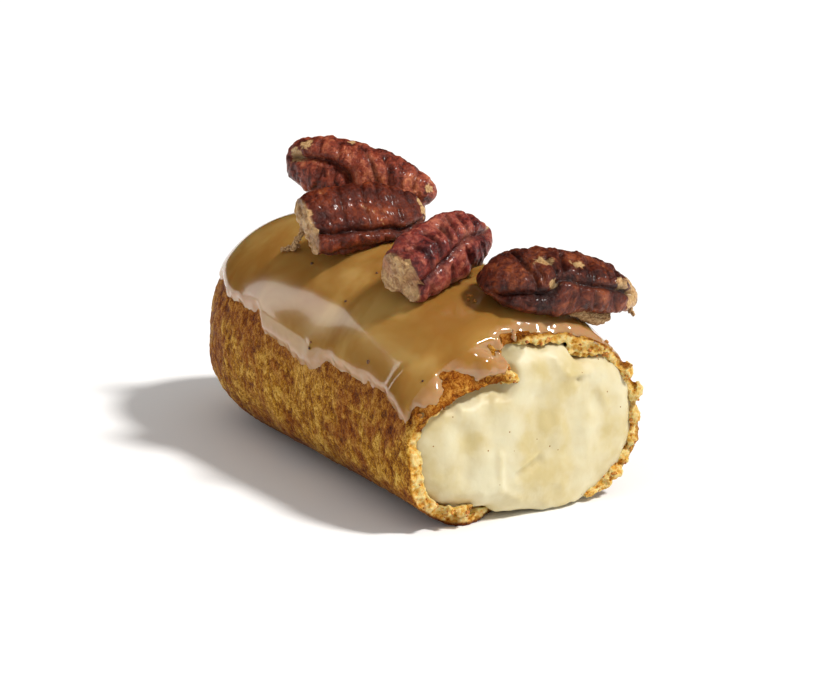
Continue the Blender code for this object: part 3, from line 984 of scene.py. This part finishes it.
def icing_finish():
    made = Finish(
        "caramel_icing",
        Roughness=0.12,
        Subsurface_Weight=0.45,
        Subsurface_Scale=2 * MM,
        Coat_Weight=0.35,
        Coat_Roughness=0.04,
    )
    cloudy = made.noise(13 * MM, 3, 0.5, 0.6)
    body = made.ramp(
        cloudy, (0.36, tone(152, 106, 46)), (0.5, tone(166, 122, 60)), (0.64, tone(184, 146, 82))
    )
    rim = made.add(made.stored("inside"), made.times(made.noise(1.6 * MM, 3, 0.6), 0.8))
    # Paler near the edge: partly the thin film's own lighter tone, partly a painted reflection of the
    # bright surroundings along the rounded edge.
    edge = made.span(rim, 2.0, 0.5)
    shown = made.mix(made.times(edge, 0.7), body, tone(188, 146, 108))
    fine = made.noise(0.6 * MM, 2, 0.5)
    return made.give(Base_Color=shown, Normal=made.bump(fine, 0.01 * MM, 0.3))


dress(icing, icing_finish(), "caramel_icing")

# %% [markdown]
# ## Pecan halves
# A pecan half is an elongated dome with a groove along its middle and short creases across it,
# where the kernel folded inside the shell. Each starts as a fine sphere whose points are laid out
# by place along the nut and angle round it. Grooves and creases are lines given in those two
# measures, and every point close to a line sinks. The nut is then turned and fitted to the box of
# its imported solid, so that it rests on the icing where the solid does.

# %% The shapes of the four pecans
# Size in mm, heading, tilt and roll in degrees, the share that broke off, and dark to light tints.
# Each line is a list of places, as distance along the nut in mm and angle round it, then its depth
# and width in mm. Every depth up to FULL_DEPTH is multiplied by crease. raised is how far the nut's
# underside is lifted at its right end, in mm. Each pale patch is a distance, an angle and a width.
PECANS = {
    "pecan_front": dict(
        crease=1.0, raised=1.4, size=(28.8, 14.6, 9.3), heading=-9, tilt=-13, roll=13, broken=0.0, seed=3,
        tints=(tone(52, 14, 8), tone(98, 38, 20), tone(154, 78, 40)),
        lines=[
            ([(-13.5, 198), (-12, 172), (-9.8, 166), (-7.4, 162), (-5.2, 162), (-4, 140), (-2.6, 134),
              (0.1, 142), (2.2, 146), (5.2, 147), (8.7, 147), (12, 146)], 1.5, 0.85),
            ([(-8.8, 50), (-8.8, 89), (-8.6, 120), (-7.6, 154)], 1.1, 0.6),
            ([(-7.8, 85), (-6.9, 140)], 0.55, 0.4),
            ([(-4.2, 89), (-4.1, 137)], 0.7, 0.45),
            ([(-1.2, 77), (-2.5, 125)], 0.7, 0.45),
            ([(0.2, 93), (0.1, 125)], 0.45, 0.4),
            ([(3.4, 92), (3.0, 138)], 0.6, 0.45),
            ([(6.8, 100), (6.4, 140)], 0.55, 0.45),
            ([(9.5, 104), (9.8, 138)], 0.5, 0.4),
            ([(-9.3, 181), (-6, 184)], 0.4, 0.5),
            ([(-1.0, 160), (-1.4, 190)], 0.45, 0.45),
            ([(3.0, 158), (4.0, 192)], 0.6, 0.5),
            ([(7.4, 158), (8.2, 188)], 0.5, 0.45),
        ],
        pale=[(-5, 99, 1.6), (-4.6, 146, 1.2), (1.1, 108, 1.4), (9.3, 131, 1.8), (12.6, 159, 2.2),
              (11.5, 110, 1.5), (13.2, 130, 2.0)],
    ),
    "pecan_middle": dict(
        crease=0.75, size=(24.2, 10.2, 10.4), heading=11, tilt=15, roll=16, broken=0.14, seed=4,
        tints=(tone(70, 18, 20), tone(138, 54, 44), tone(202, 116, 88)),
        lines=[
            ([(-9.2, 166), (-6, 162), (-2.9, 156), (0.5, 148), (3.8, 141), (7.5, 146), (10.5, 150)],
             1.3, 0.8),
            ([(-5.6, 92), (-5.2, 132), (-5.6, 156)], 0.9, 0.5),
            ([(-2.6, 78), (-2.6, 118), (-3.2, 150)], 0.8, 0.45),
            ([(0.7, 83), (0.0, 120), (-0.7, 147)], 0.95, 0.5),
            ([(3.2, 72), (2.0, 110), (1.4, 142)], 0.8, 0.45),
            ([(5.8, 70), (4.6, 112), (4.0, 138)], 0.85, 0.45),
            ([(8.3, 67), (7.2, 104), (6.4, 138)], 0.8, 0.45),
            ([(10, 80), (9.4, 130)], 0.6, 0.4),
            ([(-6.5, 172), (-6.0, 205)], 0.6, 0.45),
            ([(-1.5, 168), (-1.2, 208)], 0.7, 0.5),
            ([(2.8, 156), (3.8, 205)], 0.7, 0.5),
            ([(6.8, 160), (7.4, 200)], 0.6, 0.45),
            ([(-8.8, 59), (-7.8, 80)], 0.7, 0.5),
        ],
        pale=[(-8.6, 110, 1.0), (11.2, 110, 1.0)],
    ),
    "pecan_left": dict(
        crease=0.65, size=(27.2, 13.3, 7.0), heading=-7, tilt=4, roll=44, broken=0.16, seed=6,
        tints=(tone(70, 20, 8), tone(104, 36, 14), tone(152, 68, 32)),
        lines=[
            ([(-9.3, 118), (-6.4, 129), (-2.2, 130), (0.8, 140), (4.2, 143), (7.5, 158), (11, 160)],
             1.4, 0.8),
            ([(-9.2, 188), (-5.4, 172), (-3.2, 171), (0.5, 176), (5, 182)], 0.9, 0.6),
            ([(-6.4, 30), (-6.6, 80), (-6.0, 120)], 0.6, 0.45),
            ([(-1.2, 18), (-2.6, 60), (-3.5, 107)], 0.9, 0.5),
            ([(2.3, 35), (1.6, 70), (0.9, 101), (0.8, 132)], 0.85, 0.5),
            ([(4.6, 40), (4.1, 62), (3.8, 100)], 0.6, 0.45),
            ([(7.5, 36), (7.0, 80), (6.8, 130)], 0.7, 0.45),
            ([(10.2, 44), (9.8, 100)], 0.55, 0.45),
            ([(-1.2, 136), (-1.4, 166)], 0.6, 0.45),
            ([(3.0, 146), (3.4, 176)], 0.55, 0.45),
        ],
        pale=[(12.9, 127, 1.5), (-9.0, 80, 0.9), (12.6, 70, 1.1)],
    ),
    "pecan_back": dict(
        crease=0.7, size=(28.3, 11.6, 9.4), heading=-44, tilt=-14, roll=82, broken=0.0, seed=8,
        tints=(tone(78, 24, 14), tone(146, 60, 38), tone(208, 122, 82)),
        lines=[
            ([(-13, 80), (-9, 72), (-5.1, 70), (-1.9, 81), (0.1, 111), (3, 122), (7.5, 118), (11.5, 112)],
             1.4, 0.8),
            ([(-8.4, 22), (-7.6, 62)], 0.7, 0.45),
            ([(-4.8, 18), (-3.8, 66)], 0.6, 0.45),
            ([(-0.1, 23), (2.0, 50), (4.1, 84)], 0.9, 0.5),
            ([(3.9, 27), (5.4, 52), (6.6, 84)], 0.8, 0.45),
            ([(7.2, 27), (7.8, 52), (8.4, 88)], 0.75, 0.45),
            ([(10.4, 30), (10.6, 80)], 0.6, 0.4),
            ([(-6.2, 84), (-6.6, 130)], 0.6, 0.45),
            ([(-1.5, 100), (-2.0, 140)], 0.6, 0.45),
            ([(5.0, 128), (5.4, 160)], 0.6, 0.45),
            ([(9.4, 120), (9.8, 158)], 0.5, 0.4),
        ],
        pale=[(-12.4, 70, 1.9), (-10.6, 40, 1.7), (-3, 12, 0.9), (12.8, 60, 1.1)],
    ),
}
for name, nut in PECANS.items():
    print(name, "is", nut["size"][0], "mm long and has", len(nut["lines"]), "lines")

# %% [markdown]
# Growing a nut takes four steps: a smooth shape with a shallow groove, the creases pressed into it,
# some unevenness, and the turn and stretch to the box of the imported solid. The small creases are
# made by chance, because there are too many to list, but from a fixed seed, so that they stay put.

# %% Growing a pecan
AROUND, ALONG = 144, 176
NUT_GROW = 1.06
SMALL_CREASES = 34
FULL_DEPTH = 1.2


def curl(values, power):
    """A power that keeps its sign."""
    return np.sign(values) * np.abs(values) ** power


def away_from(angle, middle):
    """Degrees between an angle and a direction, -180 to 180."""
    return (np.degrees(angle) - middle + 180) % 360 - 180


def nut_places(reach, angle, size, broken):
    """Points of the smooth nut, in mm, from place along it (-1 to 1) and angle round it."""
    length, width, thick = size
    section = (1 - np.abs(reach) ** 2.5) ** 0.5
    groove = 0.16 * bell(away_from(angle, 90), 26) * (1 - 0.6 * reach**2)
    hollow = 0.3 * bell(away_from(angle, 270), 34)
    grown = NUT_GROW * (1 - groove - hollow)
    x = length / 2 * reach
    y = width / 2 * (1 - 0.12 * reach) * section * np.cos(angle) * grown
    rise = curl(np.sin(angle), 0.9) * section * grown
    z = thick * np.where(rise > 0, 0.64, 0.36) * rise - 1.2 * reach**2
    if broken:
        x = np.maximum(x, -length / 2 * (1 - 2 * broken) + 0.4 * np.sin(3 * angle) * section)
    return np.column_stack((x, y, z))


def on_nut(x, degrees, nut):
    """The place on the smooth nut at a distance along it and an angle round it."""
    reach = np.clip(np.asarray(x, float) * 2 / nut["size"][0], -0.995, 0.995)
    return nut_places(reach, np.radians(np.asarray(degrees, float)), nut["size"], nut["broken"])


def trace(line, nut, steps=24):
    """A line of places over the nut through the given (x, angle) pairs."""
    line = np.array(line, float)
    at = np.linspace(0, len(line) - 1, steps)
    index = np.arange(len(line))
    return on_nut(np.interp(at, index, line[:, 0]), np.interp(at, index, line[:, 1]), nut)


def polyline_distance(points, path):
    """Distance of each point from a line of many short pieces."""
    nearest = np.full(len(points), 99.0)
    for start, end in zip(path[:-1], path[1:]):
        if np.any(start != end):
            nearest = np.minimum(nearest, line_distance(points, start, end))
    return nearest


def random_creases(nut):
    """Short shallow creases across the nut, too many to list."""
    chance = random.Random(nut["seed"])
    half = nut["size"][0] / 2
    for _ in range(SMALL_CREASES):
        x, angle = chance.uniform(-half * 0.92, half * 0.92), chance.uniform(-20, 200)
        turn = chance.uniform(18, 46)
        bend = chance.uniform(-0.9, 0.9)
        deep, wide = chance.uniform(0.16, 0.38), chance.uniform(0.28, 0.42)
        yield [(x, angle), (x + bend, angle + turn)], deep, wide


def press_creases(points, nut):
    """How far each point sinks into the lines of its nut, in mm, and how much painted shade its crease
    gets there, 0 to 1.
    """
    sunk, hollow = np.zeros(len(points)), np.zeros(len(points))
    lines = []
    for path, deep, wide in nut["lines"]:
        lines.append((path, deep if deep > FULL_DEPTH else deep * nut["crease"], wide))
    for path, deep, wide in [*lines, *random_creases(nut)]:
        share = np.exp(-((polyline_distance(points, trace(path, nut)) / wide) ** 1.5))
        sunk = np.maximum(sunk, deep * share)
        hollow = np.maximum(hollow, min(1, deep / 0.7) * share)
    return sunk, hollow


def fit_to_box(points, name):
    """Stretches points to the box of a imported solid, and gives 1 at its bottom and 0 at its top."""
    box_low, box_high = (np.array(corner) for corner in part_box(name))
    low, high = points.min(0), points.max(0)
    fitted = box_low + (points - low) / (high - low) * (box_high - box_low)
    return fitted, (box_high[2] - fitted[:, 2]) / (box_high[2] - box_low[2])


def grow_pecan(name, nut):
    bpy.ops.object.select_all(action="DESELECT")
    bpy.ops.mesh.primitive_uv_sphere_add(segments=AROUND, ring_count=ALONG, radius=1)
    piece = bpy.context.active_object
    piece.name = piece.data.name = name + "_half"
    unit = points_of(piece)
    reach, angle = np.clip(unit[:, 2], -1, 1), np.arctan2(unit[:, 1], unit[:, 0])
    smooth = nut_places(reach, angle, nut["size"], nut["broken"])
    move_points(piece, smooth)
    drift = [waves(smooth, 6, 40 + axis + nut["seed"]) for axis in range(3)]
    warped = smooth + 0.35 * np.column_stack(drift)
    sunk, hollow = press_creases(warped, nut)
    across = smooth * (1.6, 0.7, 0.7)
    rumple = 0.45 * waves(across, 3.6, nut["seed"]) + 0.2 * waves(across, 1.3, nut["seed"] + 1, 2)
    cut_face = np.zeros(len(smooth))
    if nut["broken"]:
        cut_face = ease(0.9, 0.2, smooth[:, 0] - smooth[:, 0].min())
        rumple += cut_face * 0.35 * waves(smooth, 1.2, 77, 2)
    moved = np.clip(pushed_out(piece, rumple - sunk), smooth.min(0) - 0.2, smooth.max(0) + 0.2)
    pale = np.zeros(len(smooth))
    for x, degrees, wide in nut["pale"]:
        spot = on_nut([x], [degrees], nut)[0]
        pale = np.maximum(pale, bell(np.linalg.norm(warped - spot, axis=1), wide))
    euler = Euler([math.radians(v) for v in (nut["roll"], -nut["tilt"], nut["heading"])])
    turned = moved @ np.array(euler.to_matrix()).T * MM
    fitted, under = fit_to_box(turned, name)
    fitted[:, 2] += nut.get("raised", 0) * MM * under * ease(5 * MM, 15 * MM, fitted[:, 0])
    move_points(piece, fitted)
    # hollow carries the painted shade of the creases to the finish.
    store(piece, "hollow", hollow)
    store(piece, "pale", pale)
    store(piece, "torn", cut_face)
    return piece


print("each nut has", AROUND * (ALONG - 1) + 2, "points")

# %% [markdown]
# The skin of a pecan is a thin brown film over pale flesh. Its grooves and creases are painted dark
# as shade, and it is rubbed tan on the ridges and at the ends. Where the nut broke, the pale flesh
# shows.

# %% Pecans


def pecan_finish(name, tints):
    dark, mid, light = tints
    made = Finish(
        name,
        Roughness=0.36,
        Specular_IOR_Level=0.3,
        Coat_Weight=0.18,
        Coat_Roughness=0.16,
        Subsurface_Weight=0.05,
        Subsurface_Scale=1 * MM,
    )
    broad = made.noise(4.5 * MM, 3, 0.6)
    streaks = made.noise(1.1 * MM, 4, 0.7, 0.8)
    dust = made.noise(0.3 * MM, 3, 0.7)
    skin_mix = made.add(made.times(broad, 0.55), made.times(streaks, 0.45))
    shown = made.ramp(skin_mix, (0.41, dark), (0.51, mid), (0.63, light))
    wander = made.add(made.times(made.add(streaks, -0.5), 1.4), made.times(made.add(broad, -0.5), 1.6))
    worn = made.ramp(dust, (0.35, tone(172, 118, 66)), (0.6, tone(226, 190, 134)))
    rubbed = made.add(made.stored("pale"), wander)
    shown = made.mix(made.ramp(rubbed, (0.42, 0.0), (0.56, 0.95)), shown, worn)
    shown = made.mix(made.ramp(dust, (0.64, 0.0), (0.72, 0.3)), shown, tone(206, 150, 104))
    # Painted shade: the creases, by the stored hollow, darken towards a quarter of the dark tint.
    shown = made.mix(made.times(made.stored("hollow"), 0.7), shown, tuple(v * 0.25 for v in dark))
    flesh = made.ramp(streaks, (0.35, tone(150, 104, 62)), (0.65, tone(222, 184, 130)))
    shown = made.mix(made.stored("torn"), shown, flesh)
    bumps = made.add(made.times(streaks, 1.0), made.times(dust, 0.35))
    return made.give(Base_Color=shown, Normal=made.bump(bumps, 0.5 * MM, 0.9))


for name, nut in PECANS.items():
    half = grow_pecan(name, nut)
    dress(half, pecan_finish("skin_of_" + name, nut["tints"]), name)

# %% [markdown]
# ## Crumbs and specks
# Cutting the eclair left small crumbs along its torn rim, and a few on the icing. Each is a small
# rough lump set a little way into what carries it. They are joined to make one piece.

# %% Crumbs
RIM_CRUMBS = 90
# Place and size in mm of each crumb on the icing, beside a nut or below one
ICING_CRUMBS = [
    (-2.8, -33.1, 32.9, 0.4), (-2.6, -31.3, 33.3, 0.5),
    (-3.6, -32.4, 33.2, 0.3), (18.2, -43.0, 27.6, 0.4),
]


def crumb_at(spot, size, chance):
    radii = [size * chance.uniform(0.6, 1.3) for _ in range(3)]
    return ball(spot, radii, [chance.uniform(0, 6) for _ in range(3)])


def join_all(pieces, name):
    """Joins pieces under a name, with their places and sizes kept in the mesh itself."""
    joined = join(pieces)
    joined.name = joined.data.name = name
    bpy.ops.object.transform_apply(location=True, rotation=True, scale=True)
    return joined


chance = random.Random(17)
points = points_of(case)
torn = (points[:, 1] < FRONT - 0.3 * MM) & (distance_to(skin, points) > 0.4 * MM)
rim_points = points[torn & (points[:, 2] > 1.5 * MM)]
lumps = []
for _ in range(RIM_CRUMBS):
    spot = rim_points[chance.randrange(len(rim_points))]
    lumps.append(crumb_at(spot, (0.16 + 0.3 * chance.random() ** 2) * MM, chance))
icing_tree = tree_of(icing)
for x, y, z, size in ICING_CRUMBS:
    spot = icing_tree.find_nearest(Vector((x, y, z)) * MM)[0] + Vector((0, 0, 0.2 * size * MM))
    lumps.append(crumb_at(spot, size * MM, chance))
crumbs = join_all(lumps, "crumbs")
points = points_of(crumbs)
rough = pushed_out(crumbs, 0.1 * MM * waves(points, 0.5 * MM, 51, 2))
rough[:, 1] = np.maximum(rough[:, 1], cad_box[0].y)
rough[:, 2] = np.maximum(rough[:, 2], 0.1 * MM)
move_points(crumbs, rough)


def crumb_finish():
    made = Finish("loose_crumb", Roughness=0.7, Subsurface_Weight=0.2, Subsurface_Scale=1 * MM)
    grain = made.noise(0.6 * MM, 3, 0.7)
    shown = made.ramp(
        grain, (0.35, tone(128, 68, 14)), (0.55, tone(194, 124, 40)), (0.7, tone(236, 184, 96))
    )
    return made.give(Base_Color=shown, Normal=made.bump(grain, 0.3 * MM, 0.8))


dress(crumbs, crumb_finish(), None)

# %% [markdown]
# Where the pecans broke, lumps and shreds of their pale flesh are left: a large one under the front
# nut's right end, and a string of small ones that rises from the icing beside the left nut's broken
# end. They are placed by how they look from the camera, so most of them hang a little clear of the
# nuts and the icing. Seen from behind, that shows.

# %% Shreds of pecan flesh
# Place and radii of each lump or shred, in mm
NUT_SHREDS = [
    (14.2, -40.9, 30.0, 3.6, 1.5, 1.3), (11.6, -41.2, 31.0, 1.6, 1.0, 0.9),
    (16.8, -41.0, 29.6, 1.6, 1.2, 1.0), (-13.2, 3.4, 39.9, 0.4, 0.4, 0.9),
    (-13.6, 3.5, 39.0, 0.5, 0.5, 0.9), (-14.0, 3.7, 38.1, 0.4, 0.5, 0.9),
    (-14.2, 4.2, 37.3, 0.4, 0.5, 0.8), (-14.0, 5.1, 36.5, 0.4, 0.8, 0.6),
    (-13.5, 6.3, 35.7, 0.5, 0.8, 0.6), (-13.1, 7.6, 35.1, 0.5, 0.8, 0.5),
    (-13.2, 9.0, 34.8, 0.6, 0.8, 0.5), (-13.8, 9.8, 34.5, 0.6, 0.6, 0.4),
    (-12.6, 6.9, 35.6, 0.4, 0.5, 0.5), (23.6, -39.4, 29.5, 0.5, 0.5, 0.7),
    (24.0, -39.6, 28.7, 0.3, 0.3, 0.6),
]
shreds = []
for x, y, z, *radii in NUT_SHREDS:
    made = crumb_at(Vector((x, y, z)) * MM, MM, chance)
    made.scale = [radius * MM for radius in radii]
    made.rotation_euler = (chance.uniform(-0.4, 0.4), chance.uniform(-0.4, 0.4), chance.uniform(-0.3, 0.3))
    shreds.append(made)
flesh = join_all(shreds, "pecan_shreds")
apply_modifier(flesh, "SUBSURF", levels=2)
fibrous = waves(points_of(flesh) * (1, 1, 2), 1.1 * MM, 61, 3, 0.7)
move_points(flesh, pushed_out(flesh, 0.245 * MM * fibrous))


def flesh_finish():
    made = Finish("pecan_flesh", Roughness=0.6, Specular_IOR_Level=0.3)
    fibres = made.noise(0.5 * MM, 4, 0.7, 0.5, made.stretched(1, 1, 2.5))
    shown = made.ramp(
        fibres, (0.35, tone(112, 72, 40)), (0.5, tone(186, 144, 96)), (0.66, tone(230, 200, 150))
    )
    return made.give(Base_Color=shown, Normal=made.bump(fibres, 0.4 * MM, 0.9))


dress(flesh, flesh_finish(), None)

# %% [markdown]
# Vanilla seeds show as dark specks in the icing. They lie half sunk in its surface, so each is a
# small lump set at the nearest place on the icing.

# %% Vanilla specks
# Place near each speck, in mm
SPECKS = [
    (-13.4, 0.6, 33.8), (-4.0, -4.8, 36.6), (-9.5, -14.1, 34.5), (-21.1, -11.4, 24.0),
    (-21.3, -11.4, 23.0), (-20.6, -28.4, 24.7), (-2.1, -23.2, 34.6), (-18.8, -41.9, 24.9),
    (-16.1, -14.7, 31.1), (9.0, -8.0, 35.0), (14.0, 6.0, 31.0), (19.5, -20.0, 26.0),
    (4.0, 33.0, 32.0), (17.0, 28.0, 26.0),
]
specks = []
for place in SPECKS:
    spot = icing_tree.find_nearest(Vector(place) * MM)[0]
    specks.append(crumb_at(spot, chance.uniform(0.2, 0.32) * MM, chance))
vanilla = join_all(specks, "vanilla_specks")


def speck_finish():
    made = Finish("vanilla_seed", Roughness=0.4)
    grain = made.noise(0.3 * MM, 2, 0.6)
    return made.give(Base_Color=made.ramp(grain, (0.4, tone(58, 30, 10)), (0.6, tone(112, 66, 26))))


dress(vanilla, speck_finish(), None)

# %% [markdown]
# ## Sizes of the parts
# The imported parts' boxes are printed in mm, with the count of triangles in the scene. The
# finished piece has to fit the imported model's box.

# %% Sizes and triangles


def in_mm(box):
    return [[round(v * 1000, 1) for v in corner] for corner in box]


for helper in (plain_case, plain_icing):
    bpy.data.objects.remove(helper)
for name in ("choux_case", "cream_filling", "caramel_icing", *PECANS):
    print(name, in_mm(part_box(name)))
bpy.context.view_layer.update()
meshes = [thing.data for thing in bpy.data.objects if thing.type == "MESH"]
print("triangles:", sum(len(face.vertices) - 2 for mesh in meshes for face in mesh.polygons))
